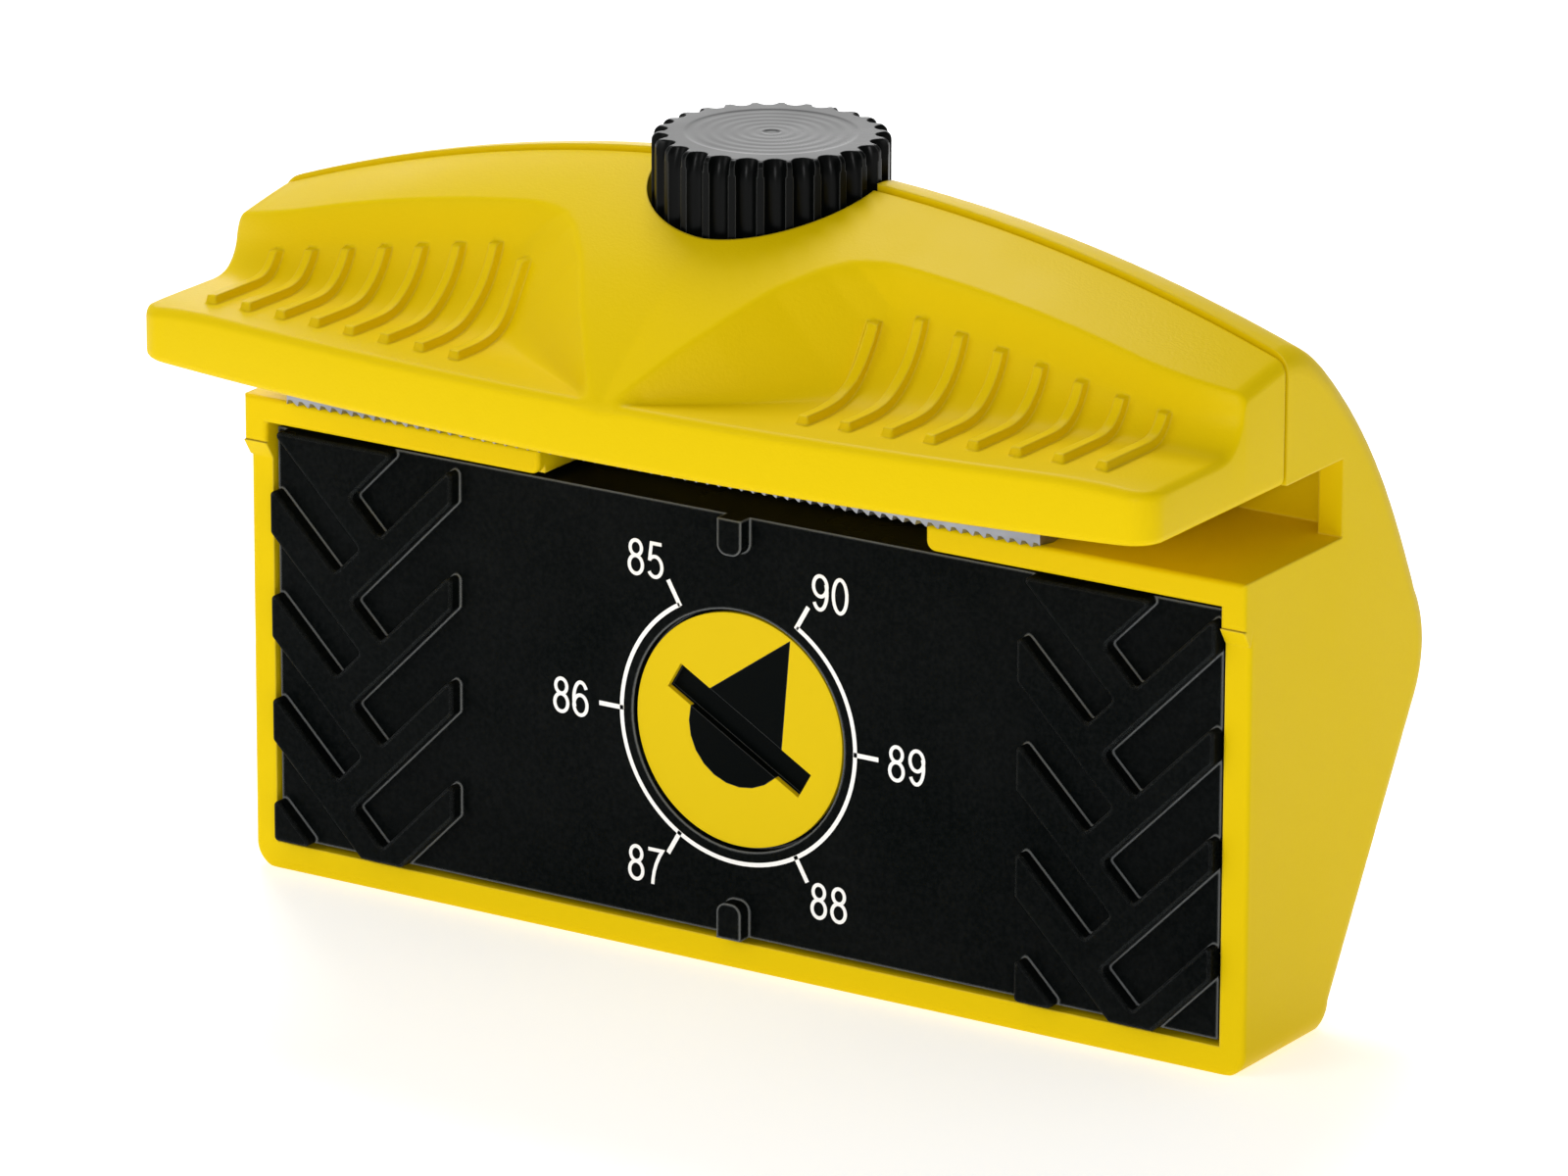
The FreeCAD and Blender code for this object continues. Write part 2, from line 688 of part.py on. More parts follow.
def make_dial():
    radius = dim("dial_radius")
    front = dim("plate_front") + 0.3
    head_back = front + 1.25
    head = dial_rod(radius, front, head_back)
    inlay_room = dial_rod(radius + 1, front - 1, front + INLAY).cut(pointer_prism(front - 2, front + 2, 0))
    head = head.cut(inlay_room)
    hub = dial_rod(dim("dial_hub_radius"), head_back - 0.3, 1.1)
    groove = dial_rod(dim("dial_hub_radius") + 1, -1.9, -0.3).cut(dial_rod(7.5, -3, 1))
    dial = head.fuse(hub).cut([coin_slot(front - 1, front + 1.1), groove, dial_rod(1.25, -2.0, 2.0)])
    face = dial_rod(radius, front, front + INLAY).cut([pointer_prism(front - 2, front + 2, 0.02),
                                                       coin_slot(front - 1, front + 2)])
    return dial.removeSplitter(), face.removeSplitter()


def cam_section(angle, rise):
    """Rectangle of the cam's track at one angle from +X, anticlockwise from the front."""
    low = 2.0
    direction = V(math.cos(angle), 0, math.sin(angle))
    centre = V(0, 0, dim("dial_z"))
    corners = []
    for radius, height in ((4.3, low), (10.3, low), (10.3, rise), (4.3, rise)):
        corners.append(centre + direction * radius + V(0, height, 0))
    return Part.makePolygon(corners + corners[:1])


CAM_BACK = 3.0


def make_cam():
    """Face cam: a ramp that rises over 300 degrees of the dial's turn."""
    steps = 12
    start = math.radians(-102)
    sweep = math.radians(324)
    sections = []
    for step in range(steps + 1):
        share = step / steps
        rise = CAM_BACK + dim("cam_rise") * (share * 324 - 12) / 300
        sections.append(cam_section(start + sweep * share, rise))
    ramp = Part.makeLoft(sections, True, False)
    disc = dial_rod(11.4, 1.1, 2.4)
    return disc.fuse(ramp).cut(dial_rod(1.6, 0, 9)).removeSplitter()


def make_dial_fasteners():
    at = lambda y: ("0", y, "Dims.dial_z")
    cylinder("screw_head", "2.75", "1.7", at("3.0"), "y")
    cylinder("screw_shank", "1.24", "5", at("-1.9"), "y")
    fuse("dial_screw", [doc.screw_head, doc.screw_shank])
    cylinder("dial_washer_body", "3.5", "0.5", at("2.45"), "y")
    cylinder("dial_washer_bore", "1.6", "2", at("2.0"), "y")
    cut("dial_washer", doc.dial_washer_body, doc.dial_washer_bore)
    ring = doc.addObject("Part::Torus", "dial_o_ring")
    bind(ring, Radius1="Dims.dial_hub_radius - 0.75", Radius2="0.68")
    ring.Placement.Rotation = FreeCAD.Rotation(V(1, 0, 0), 90)
    bind(ring, Placement__Base__y="-1.1", Placement__Base__z="Dims.dial_z")


def make_follower_and_detent():
    follower_z = "Dims.dial_z - Dims.cam_track"
    cylinder("cam_follower", "1.5", "14.6", ("0", "3.3", follower_z), "y")
    ball = doc.addObject("Part::Sphere", "detent_ball")
    bind(ball, Radius=str(DETENT_BALL), Placement__Base__x=str(DETENT_X), Placement__Base__y="0.19",
         Placement__Base__z="Dims.dial_z")


def detent_spring():
    """Small compression spring behind the detent ball."""
    spring = coil_spring(0.6, 0.15, 0.5, 3)
    spring.rotate(V(0, 0, 0), V(1, 0, 0), -90)
    spring.translate(V(DETENT_X, DETENT_FLOOR + 0.2, dim("dial_z")))
    return spring


def make_cover_screws():
    """Four countersunk screws that join the shells from the back."""
    screws = []
    head_front = "Dims.screw_head_y - 2.1"
    recess_front = "Dims.screw_head_y - 1"
    for index, x in enumerate(SCREW_X):
        head = cylinder("cover_screw_head_%d" % index, "Dims.screw_head", str(SCREW_HEAD_LENGTH),
                        (str(x), head_front, "Dims.screw_z"), "y")
        shank = cylinder("cover_screw_shank_%d" % index, "Dims.screw_bore - 0.01", "15",
                         (str(x), "-6.6", "Dims.screw_z"), "y")
        drive = block("cover_screw_drive_%d" % index, ("3.6", "1.0", "0.8"),
                      (str(x - 1.8), recess_front, "Dims.screw_z - 0.4"))
        cross = block("cover_screw_cross_%d" % index, ("0.8", "1.0", "3.6"),
                      (str(x - 0.4), recess_front, "Dims.screw_z - 1.8"))
        whole = fuse("cover_screw_blank_%d" % index, [head, shank])
        recess = fuse("cover_screw_recess_%d" % index, [drive, cross])
        screws.append(cut("cover_screw_%d" % index, whole, recess))
    group("cover_screws", screws)


# ---------------------------------------------------------------- build and export
NODES = [
    "housing", "front_cover", "cover_screws", "clamp_knob", "knob_insert", "knob_washer", "clamp_stem",
    "pressure_plate", "pressure_pad", "stem_clip", "edge_file", "guide_plate", "hinge_pins", "hinge_springs",
    "angle_dial", "dial_face", "dial_cam", "dial_screw", "dial_washer", "dial_o_ring", "cam_follower",
    "detent_ball", "detent_spring",
]


def build():
    feature("housing", make_housing())
    feature("front_cover", make_cover())
    make_cover_screws()
    feature("clamp_knob", make_knob())
    make_clamp()
    make_file()
    feature("guide_plate", make_guide_plate())
    make_hinge()
    feature("hinge_springs", Part.makeCompound([hinge_spring(-1), hinge_spring(1)]))
    dial, face = make_dial()
    feature("angle_dial", dial)
    feature("dial_face", face)
    feature("dial_cam", make_cam())
    make_dial_fasteners()
    make_follower_and_detent()
    feature("detent_spring", detent_spring())
    doc.recompute()


def export():
    for obj in doc.Objects:
        if "Invalid" in obj.State or "Error" in obj.State:
            raise RuntimeError("%s failed: %s" % (obj.Name, obj.State))
    os.makedirs("parts", exist_ok=True)
    for name in NODES:
        obj = doc.getObject(name)
        obj.Label = name
        shape = obj.Shape.translated(V(0, -MIDDLE_Y, 0))
        if shape.isNull() or not shape.isValid():
            raise RuntimeError("%s has no valid shape" % name)
        shape.exportStep("parts/%s.step" % name)
        print("%-16s solids %d volume %9.1f" % (name, len(shape.Solids), shape.Volume))


build()
export()
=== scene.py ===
import bmesh
import bpy
import math
from mathutils import Matrix, Vector


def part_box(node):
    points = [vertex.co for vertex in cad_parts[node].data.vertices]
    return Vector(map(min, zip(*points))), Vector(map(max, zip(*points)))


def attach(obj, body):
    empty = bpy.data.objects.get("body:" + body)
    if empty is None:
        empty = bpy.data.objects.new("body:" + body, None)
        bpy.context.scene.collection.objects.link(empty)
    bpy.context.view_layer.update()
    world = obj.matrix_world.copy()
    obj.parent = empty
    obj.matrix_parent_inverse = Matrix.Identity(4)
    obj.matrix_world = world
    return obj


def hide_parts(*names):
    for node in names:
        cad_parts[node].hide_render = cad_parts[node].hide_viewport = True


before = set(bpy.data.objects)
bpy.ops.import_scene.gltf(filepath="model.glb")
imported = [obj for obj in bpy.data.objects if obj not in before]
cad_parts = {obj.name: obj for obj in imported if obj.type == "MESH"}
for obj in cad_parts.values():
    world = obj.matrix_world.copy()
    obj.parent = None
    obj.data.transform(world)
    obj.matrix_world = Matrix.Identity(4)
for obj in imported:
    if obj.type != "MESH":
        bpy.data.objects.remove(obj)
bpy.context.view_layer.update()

MM = 0.001

# ------------------------------------------------------------------ places, in millimetres
shell_high = Vector(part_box("housing")[1]) / MM
cover_low, cover_high = [Vector(corner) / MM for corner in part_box("front_cover")]
file_low, file_high = [Vector(corner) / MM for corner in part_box("edge_file")]
dial_low, dial_high = [Vector(corner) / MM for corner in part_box("angle_dial")]
knob_low, knob_high = [Vector(corner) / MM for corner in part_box("clamp_knob")]

HALF = shell_high.x                         # half of the tool's length
SEAM = 0.825                                # parting plane, on the knob's axis
SEAM_GAP = 0.12                             # how much wider the visible parting line is than the CAD's
SEAM_BACK = cover_high.y - SEAM_GAP         # rear face of the cover, on the seam
SLOT_TOP = cover_low.z                      # underside of the cover, over the file slot
PLATE_FACE = -5.775                         # front of the guide plate between the treads
DIAL_Z = 0.5 * (dial_low.z + dial_high.z)
KNOB_RADIUS = 13.2
KNOB_TOP = knob_high.z
KNOB_SKIRT = 84.9                           # foot of the fluted cap, inside its pocket


# ------------------------------------------------------------------ node materials
def new_material(name):
    """An empty principled material with its node tree and shader."""
    material = bpy.data.materials.new(name)
    material.use_nodes = True
    nodes = material.node_tree.nodes
    shader = nodes["Principled BSDF"]
    return material, material.node_tree, shader


def add(tree, kind, **values):
    """A node with its properties or named inputs set."""
    node = tree.nodes.new(kind)
    for key, value in values.items():
        if hasattr(node, key):
            setattr(node, key, value)
        else:
            node.inputs[key.replace("_", " ")].default_value = value
    return node


def object_coords(tree, scale=(1, 1, 1)):
    """Object coordinates, stretched by scale."""
    coords = tree.nodes.new("ShaderNodeTexCoord")
    mapping = tree.nodes.new("ShaderNodeMapping")
    mapping.inputs["Scale"].default_value = scale
    tree.links.new(coords.outputs["Object"], mapping.inputs["Vector"])
    return mapping.outputs["Vector"]


def noise(tree, vector, scale, detail=2.0, roughness=0.5):
    """Factor of a noise texture."""
    node = add(tree, "ShaderNodeTexNoise", Scale=scale, Detail=detail, Roughness=roughness)
    tree.links.new(vector, node.inputs["Vector"])
    return node.outputs["Fac"]


def ramp(tree, source, low, high, start, end):
    """Map source from low..high to start..end, clamped."""
    node = tree.nodes.new("ShaderNodeMapRange")
    node.inputs["From Min"].default_value = low
    node.inputs["From Max"].default_value = high
    node.inputs["To Min"].default_value = start
    node.inputs["To Max"].default_value = end
    tree.links.new(source, node.inputs["Value"])
    return node.outputs["Result"]


def mix_colour(tree, factor, first, second):
    """Colour between first and second by factor."""
    node = tree.nodes.new("ShaderNodeMix")
    node.data_type = "RGBA"
    node.inputs["A"].default_value = (*first, 1)
    node.inputs["B"].default_value = (*second, 1)
    tree.links.new(factor, node.inputs["Factor"])
    return node.outputs["Result"]


def rounded_normal(tree, edge_radius):
    """Surface normal with every edge slightly rounded."""
    node = add(tree, "ShaderNodeBevel", samples=6)
    node.inputs["Radius"].default_value = edge_radius * MM
    return node.outputs["Normal"]


def bump(tree, height, strength, distance, normal):
    """Surface relief on top of the given normal."""
    node = add(tree, "ShaderNodeBump", Strength=strength, Distance=distance)
    tree.links.new(height, node.inputs["Height"])
    tree.links.new(normal, node.inputs["Normal"])
    return node.outputs["Normal"]


def edge_highlight_and_wear_mask(tree, normal):
    """Mask for the painted edge highlight and wear: 1 along the edges, where the rounded normal leaves
    the flat one, and 0 elsewhere.
    """
    geometry = tree.nodes.new("ShaderNodeNewGeometry")
    agree = add(tree, "ShaderNodeVectorMath", operation="DOT_PRODUCT")
    tree.links.new(geometry.outputs["Normal"], agree.inputs[0])
    tree.links.new(normal, agree.inputs[1])
    return ramp(tree, agree.outputs["Value"], 0.97, 0.82, 0.0, 1.0)


def plastic(name, base, highlight_and_wear, rough, gloss, grain_size, grain_height, edge_radius):
    """Moulded plastic: spark-eroded grain, uneven sheen, and edges painted paler, a painted highlight
    that also stands for wear. Sizes in millimetres.
    """
    material, tree, shader = new_material(name)
    vector = object_coords(tree)
    normal = rounded_normal(tree, edge_radius)
    cloud = noise(tree, vector, 60.0, 3.0)
    grain = noise(tree, vector, 1.0 / (grain_size * MM), 2.0, 0.6)
    tint = ramp(tree, cloud, 0.3, 0.7, 0.0, 0.008)
    speck = ramp(tree, grain, 0.35, 0.75, 0.0, 0.012)
    both = add(tree, "ShaderNodeMath", operation="ADD")
    tree.links.new(tint, both.inputs[0])
    tree.links.new(speck, both.inputs[1])
    # Painted highlight along every edge, partly wear: the edge mask, weighted 0.8, moves the colour
    # towards the paler edge colour, on top of the random tint and specks.
    edges = add(tree, "ShaderNodeMath", operation="MULTIPLY_ADD")
    edges.inputs[1].default_value = 0.8
    tree.links.new(edge_highlight_and_wear_mask(tree, normal), edges.inputs[0])
    tree.links.new(both.outputs[0], edges.inputs[2])
    tree.links.new(mix_colour(tree, edges.outputs[0], base, highlight_and_wear), shader.inputs["Base Color"])
    tree.links.new(ramp(tree, cloud, 0.3, 0.7, rough - 0.05, rough + 0.05), shader.inputs["Roughness"])
    tree.links.new(bump(tree, grain, 0.35, grain_height * MM, normal), shader.inputs["Normal"])
    shader.inputs["Specular IOR Level"].default_value = gloss
    return material


def metal(name, base, dark, rough, stretch, scratch_height):
    """Steel or brass with fine drawn scratches along the stretched direction."""
    material, tree, shader = new_material(name)
    vector = object_coords(tree, stretch)
    scratch = noise(tree, vector, 1400.0, 3.0, 0.65)
    cloud = noise(tree, object_coords(tree), 110.0, 3.0)
    colour = mix_colour(tree, ramp(tree, cloud, 0.35, 0.7, 0.0, 1.0), base, dark)
    relief = bump(tree, scratch, 0.3, scratch_height * MM, rounded_normal(tree, 0.1))
    tree.links.new(colour, shader.inputs["Base Color"])
    tree.links.new(ramp(tree, scratch, 0.3, 0.7, rough - 0.08, rough + 0.10), shader.inputs["Roughness"])
    tree.links.new(relief, shader.inputs["Normal"])
    shader.inputs["Metallic"].default_value = 1.0
    return material


def ink(name, base):
    """Pad-printed ink: matt, slightly uneven in cover."""
    material, tree, shader = new_material(name)
    vector = object_coords(tree)
    patch = noise(tree, vector, 2600.0, 2.0)
    thin = ramp(tree, patch, 0.35, 0.75, 0.0, 0.15)
    tree.links.new(mix_colour(tree, thin, base, (0.6, 0.6, 0.6)), shader.inputs["Base Color"])
    tree.links.new(ramp(tree, patch, 0.3, 0.7, 0.45, 0.6), shader.inputs["Roughness"])
    return material


# Each plastic's second colour is painted on its edges: mostly a painted highlight, partly wear.
YELLOW = plastic(
    "yellow_plastic", base=(0.760, 0.540, 0.0002), highlight_and_wear=(0.860, 0.640, 0.050),
    rough=0.40, gloss=0.05, grain_size=0.36, grain_height=0.070, edge_radius=0.4)
# The black plate's pale grey edge colour paints the highlight lines on the tread rims and bases.
BLACK = plastic(
    "black_plastic", base=(0.0010, 0.0018, 0.0018), highlight_and_wear=(0.270, 0.283, 0.286),
    rough=0.28, gloss=0.015, grain_size=0.50, grain_height=0.030, edge_radius=0.55)
DIAL_BLACK = plastic(
    "dial_black_plastic", base=(0.0010, 0.0018, 0.0018), highlight_and_wear=(0.080, 0.083, 0.083),
    rough=0.34, gloss=0.02, grain_size=0.26, grain_height=0.012, edge_radius=0.2)
KNOB_BLACK = plastic(
    "knob_black_plastic", base=(0.0008, 0.0012, 0.0012), highlight_and_wear=(0.080, 0.083, 0.083),
    rough=0.28, gloss=0.085, grain_size=0.24, grain_height=0.010, edge_radius=0.2)
DIAL_YELLOW = plastic(
    "dial_yellow_plastic", base=(0.740, 0.530, 0.002), highlight_and_wear=(0.80, 0.60, 0.02),
    rough=0.38, gloss=0.08, grain_size=0.24, grain_height=0.008, edge_radius=0.15)
RUBBER = plastic(
    "black_rubber", base=(0.010, 0.010, 0.010), highlight_and_wear=(0.04, 0.04, 0.04),
    rough=0.75, gloss=0.3, grain_size=0.5, grain_height=0.03, edge_radius=0.2)
FILE_STEEL = metal(
    "file_steel", base=(0.36, 0.37, 0.39), dark=(0.22, 0.22, 0.24),
    rough=0.38, stretch=(0.2, 1.0, 1.0), scratch_height=0.008)
STEEL = metal(
    "zinc_steel", base=(0.62, 0.63, 0.65), dark=(0.48, 0.49, 0.52),
    rough=0.30, stretch=(1.0, 1.0, 0.2), scratch_height=0.004)
BRASS = metal(
    "turned_brass", base=(0.70, 0.50, 0.20), dark=(0.55, 0.38, 0.15),
    rough=0.30, stretch=(1.0, 1.0, 6.0), scratch_height=0.004)
WHITE_INK = ink("white_ink", (0.96, 0.96, 0.96))

NODE_MATERIALS = {
    "housing": YELLOW, "front_cover": YELLOW, "cover_screws": STEEL, "clamp_knob": KNOB_BLACK,
    "knob_insert": BRASS, "knob_washer": STEEL, "clamp_stem": STEEL, "pressure_plate": STEEL,
    "pressure_pad": RUBBER, "stem_clip": STEEL, "edge_file": FILE_STEEL, "guide_plate": BLACK,
    "hinge_pins": STEEL, "hinge_springs": STEEL, "angle_dial": DIAL_BLACK, "dial_face": DIAL_YELLOW,
    "dial_cam": DIAL_BLACK, "dial_screw": STEEL, "dial_washer": STEEL, "dial_o_ring": RUBBER,
    "cam_follower": STEEL, "detent_ball": STEEL, "detent_spring": STEEL,
}


def paint_frame():
    """Give every CAD node its material."""
    for name, material in NODE_MATERIALS.items():
        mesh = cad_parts[name].data
        mesh.materials.clear()
        mesh.materials.append(material)


# ------------------------------------------------------------------ mesh helpers
def piece_from_mesh(name, mesh, material, smooth_angle=None):
    """A new object from millimetre geometry."""
    mesh.transform(Matrix.Scale(MM, 4))
    mesh.materials.append(material)
    piece = bpy.data.objects.new(name, mesh)
    bpy.context.scene.collection.objects.link(piece)
    if smooth_angle is not None:
        mesh.shade_smooth()
        mesh.set_sharp_from_angle(angle=math.radians(smooth_angle))
    return piece


def mesh_from_bmesh(name, work):
    """A mesh with its normals outwards; the bmesh is used up."""
    bmesh.ops.recalc_face_normals(work, faces=work.faces)
    mesh = bpy.data.meshes.new(name)
    work.to_mesh(mesh)
    work.free()
    return mesh


def box_tool(x_low, x_high, y_low, y_high, z_low, z_high):
    """Block between the given planes."""
    work = bmesh.new()
    bmesh.ops.create_cube(work, size=1.0)
    for vert in work.verts:
        vert.co.x = x_low if vert.co.x < 0 else x_high
        vert.co.y = y_low if vert.co.y < 0 else y_high
        vert.co.z = z_low if vert.co.z < 0 else z_high
    return work


def rod_tool(radius, base, axis, length, sides=96):
    """Cylinder from base along axis."""
    work = bmesh.new()
    turn = Vector((0, 0, 1)).rotation_difference(Vector(axis)).to_matrix().to_4x4()
    place = Matrix.Translation(Vector(base) + Vector(axis) * (length / 2)) @ turn
    bmesh.ops.create_cone(work, cap_ends=True, segments=sides, radius1=radius, radius2=radius,
                          depth=length, matrix=place)
    return work


def subtract(piece, tools):
    """Cut the tool solids, in millimetres, out of the piece."""
    for work in tools:
        mesh = mesh_from_bmesh("tool", work)
        mesh.transform(Matrix.Scale(MM, 4))
        tool = bpy.data.objects.new("tool", mesh)
        bpy.context.scene.collection.objects.link(tool)
        cutter = piece.modifiers.new("cut", "BOOLEAN")
        cutter.operation = "DIFFERENCE"
        cutter.solver = "EXACT"
        cutter.object = tool
        graph = bpy.context.evaluated_depsgraph_get()
        settled = bpy.data.meshes.new_from_object(piece.evaluated_get(graph))
        piece.modifiers.clear()
        old = piece.data
        piece.data = settled
        bpy.data.meshes.remove(old)
        bpy.data.objects.remove(tool)
        bpy.data.meshes.remove(mesh)


# ------------------------------------------------------------------ front cover
LIP_FRONT = cover_low.y
LIP_BOW = 357.0                             # radius of the lip's bow in plan
CREST = cover_high.z
DOME_RADIUS = 183.0                         # of the dome's arch along the tool
DOME_SLOPE = 0.249                          # fall towards the front, at the middle of the tool
DOME_SLOPE_LOSS = 0.10                      # how much less it is at the ends
DOME_CURVE = 0.0091                         # growth of that fall
DOME_CURVE_LOSS = 0.006
KEYSTONE_TIP = -30.8                        # front end of the keystone's flanks
RISER_Y = -11.3                             # where the scoop's riser meets the dome
SCOOP_FLOOR = 72.35
SCOOP_BLEND = 1.4                           # between the riser and the keystone's flank
RISER_SMALL = 5.5                           # radius between floor and riser, near the ends
RISER_GROWTH = 8.8                          # growth of that radius towards the middle
RISER_ARC = 0.985                           # share of the radius where the arc goes over into a straight
RISER_STEEP = 6.5                           # slope of that straight
FLARE_START = 54.0                          # from here outwards the scoop opens towards the end
FLARE_LENGTH = 12.0
FLARE_DROP = 0.9
FLARE_BACK = 3.0
CORNER = 3.6                                # lip's corner in plan
END_ROUND = 0.9
LIP_ROUND = 1.1
DOME_CORNER = 1.3
DOME_FOOT = 73.5                            # above this the end's rounding grows to the dome's
SEAM_ROUND = 0.4
RIB_PITCH = 5.04
RIB_COUNT = 8
FIRST_RIB = 22.7
RIBS = [FIRST_RIB + RIB_PITCH * index for index in range(RIB_COUNT)]
RIB_HALF = 0.68
RIB_WALL = 0.24
RIB_HEIGHT = 0.95
RIB_FRONT = -28.2                           # front end of the first rib
RIB_FRONT_STEP = 0.52
RIB_TOP = 81.6                              # upper end of the first ribs
RIB_TOP_STEP = 0.95
SKIN_ROWS = 150
SKIN_SAMPLES = 900


def clamp(value, low, high):
    """Value kept between low and high."""
    return max(low, min(high, value))


def smooth_min(first, second, blend):
    """Minimum of two heights with a rounded crossing."""
    share = clamp(0.5 + 0.5 * (second - first) / blend, 0.0, 1.0)
    return second + (first - second) * share - blend * share * (1 - share)


def smooth_max(first, second, blend):
    """Maximum of two heights with a rounded crossing."""
    return -smooth_min(-first, -second, blend)


def quarter(depth, radius):
    """Drop of a quarter-round edge at a distance depth from the border."""
    if depth >= radius:
        return 0.0
    return radius - math.sqrt(max(0.0, radius * radius - (radius - depth) ** 2))


def dome(x, y):
    """The cover's convex skin before the scoops are taken out of it."""
    share = abs(x) / HALF
    back = SEAM - y
    slope = DOME_SLOPE - DOME_SLOPE_LOSS * share
    curve = DOME_CURVE - DOME_CURVE_LOSS * share
    return CREST + 0.05 - x * x / (2 * DOME_RADIUS) - slope * back - curve * back * back


# Half width of the keystone at each depth, from the tip to the dome: (y, half width).
KEYSTONE = [
    (-34.2, 0.4), (-30.2, 3.8), (-24.2, 8.5), (-18.2, 12.6),
    (-14.2, 16.5), (-12.2, 19.5), (-10.7, 25.0),
]


def keystone_half(y):
    """Half width of the keystone between the scoops at one depth."""
    if y <= KEYSTONE[0][0]:
        return KEYSTONE[0][1]
    for (y_low, low), (y_high, high) in zip(KEYSTONE[:-1], KEYSTONE[1:]):
        if y <= y_high:
            return low + (high - low) * (y - y_low) / (y_high - y_low)
    return KEYSTONE[-1][1]


def scoop(x, y):
    """Concave thumb scoop: floor, riser and the slope up to the keystone."""
    away = abs(x)
    flare = max(0.0, (away - FLARE_START) / FLARE_LENGTH)
    floor = SCOOP_FLOOR - FLARE_DROP * flare * flare
    radius = RISER_SMALL + RISER_GROWTH * clamp((58 - away) / 35.3, 0.0, 1.3)
    reach = y - (RISER_Y + FLARE_BACK * flare * flare - radius)
    edge = radius * RISER_ARC
    if reach <= 0:
        riser = floor
    elif reach < edge:
        riser = floor + radius - math.sqrt(radius * radius - reach * reach)
    else:
        riser = floor + radius - math.sqrt(radius * radius - edge * edge) + RISER_STEEP * (reach - edge)
    behind = max(0.0, y - KEYSTONE_TIP)
    width = 1.3 + 0.72 * behind + 0.014 * behind * behind
    border = keystone_half(y)
    rise = max(0.0, dome(border, y) - floor)
    share = clamp(1 - (away - border) / width, 0.0, 1.6)
    slope = floor + rise * share ** 1.35
    return smooth_max(riser, slope, SCOOP_BLEND)


def cover_top(x, y):
    """Height of the cover's skin: crisp along the keystone, softer round the scoops."""
    away = abs(x)
    blend = 0.35 + 2.45 * clamp((away - 14) / 11, 0.0, 1.0)
    return smooth_min(dome(x, y), scoop(x, y), blend)


def lip_line(x):
    """Front of the lip in plan, with rounded corners."""
    away = abs(x)
    bend = HALF - CORNER
    if away <= bend:
        return LIP_FRONT + x * x / (2 * LIP_BOW)
    base = LIP_FRONT + bend * bend / (2 * LIP_BOW)
    return base + CORNER - math.sqrt(max(0.0, CORNER ** 2 - (away - bend) ** 2))


def cover_columns():
    """Stations along X: finer over the keystone and each rib, and crowded at the rounded ends."""
    stations = {index * 0.4 for index in range(50)}
    stations.update(20 + index * 0.9 for index in range(int((HALF - CORNER - 20) / 0.9) + 1))
    for rib in RIBS:
        stations = {x for x in stations if abs(x - rib) > 1.4}
        for offset in (0.3, RIB_HALF - RIB_WALL / 2, RIB_HALF, RIB_HALF + RIB_WALL / 2, 1.2):
            stations.update((rib - offset, rib + offset))
    for index in range(1, 17):
        stations.add(HALF - CORNER * (1 - math.sin(math.pi / 2 * index / 16)))
    half = sorted(stations)
    return [-x for x in reversed(half[1:])] + half


def cover_profile(x):
    """Points (y, z) of the top skin at one station, evenly spaced along the skin."""
    start = lip_line(x)
    end = SEAM_BACK
    away = abs(x)
    points = []
    for index in range(SKIN_SAMPLES + 1):
        share = index / SKIN_SAMPLES
        y = start + (end - start) * share
        z = cover_top(x, y)
        over_dome = clamp((z - DOME_FOOT) / 5.0, 0.0, 1.0)
        z -= quarter(y - start, LIP_ROUND)
        corner = over_dome * quarter(HALF - away, DOME_CORNER)
        z -= max(quarter(HALF - away, END_ROUND), corner)
        points.append((y, z))
    lengths = [0.0]
    for first, second in zip(points[:-1], points[1:]):
        lengths.append(lengths[-1] + math.hypot(second[0] - first[0], second[1] - first[1]))
    spaced = []
    place = 0
    for row in range(SKIN_ROWS + 1):
        share = row / SKIN_ROWS
        target = lengths[-1] * (share + 0.06 * math.sin(2 * math.pi * share) / (2 * math.pi) * -4)
        while place < SKIN_SAMPLES - 1 and lengths[place + 1] < target:
            place += 1
        span = lengths[place + 1] - lengths[place]
        part = 0.0 if span == 0 else clamp((target - lengths[place]) / span, 0.0, 1.0)
        y = points[place][0] + (points[place + 1][0] - points[place][0]) * part
        z = points[place][1] + (points[place + 1][1] - points[place][1]) * part
        spaced.append((y, z))
    return spaced


def rib_amount(x, y, z):
    """Strength of the finger ribs here, from 0 to 1."""
    away = abs(x)
    index = int(round((away - FIRST_RIB) / RIB_PITCH))
    if index < 0 or index >= RIB_COUNT or y > RISER_Y + 3:
        return 0.0
    across = abs(away - RIBS[index])
    side = clamp((RIB_HALF + RIB_WALL / 2 - across) / RIB_WALL, 0.0, 1.0)
    bottom = RIB_FRONT + RIB_FRONT_STEP * index
    top = RIB_TOP - RIB_TOP_STEP * max(0, index - 1) - (0.8 if index == 0 else 0.0)
    return side * clamp((y - bottom) / 0.25, 0.0, 1.0) * clamp((top - z) / 0.4, 0.0, 1.0)


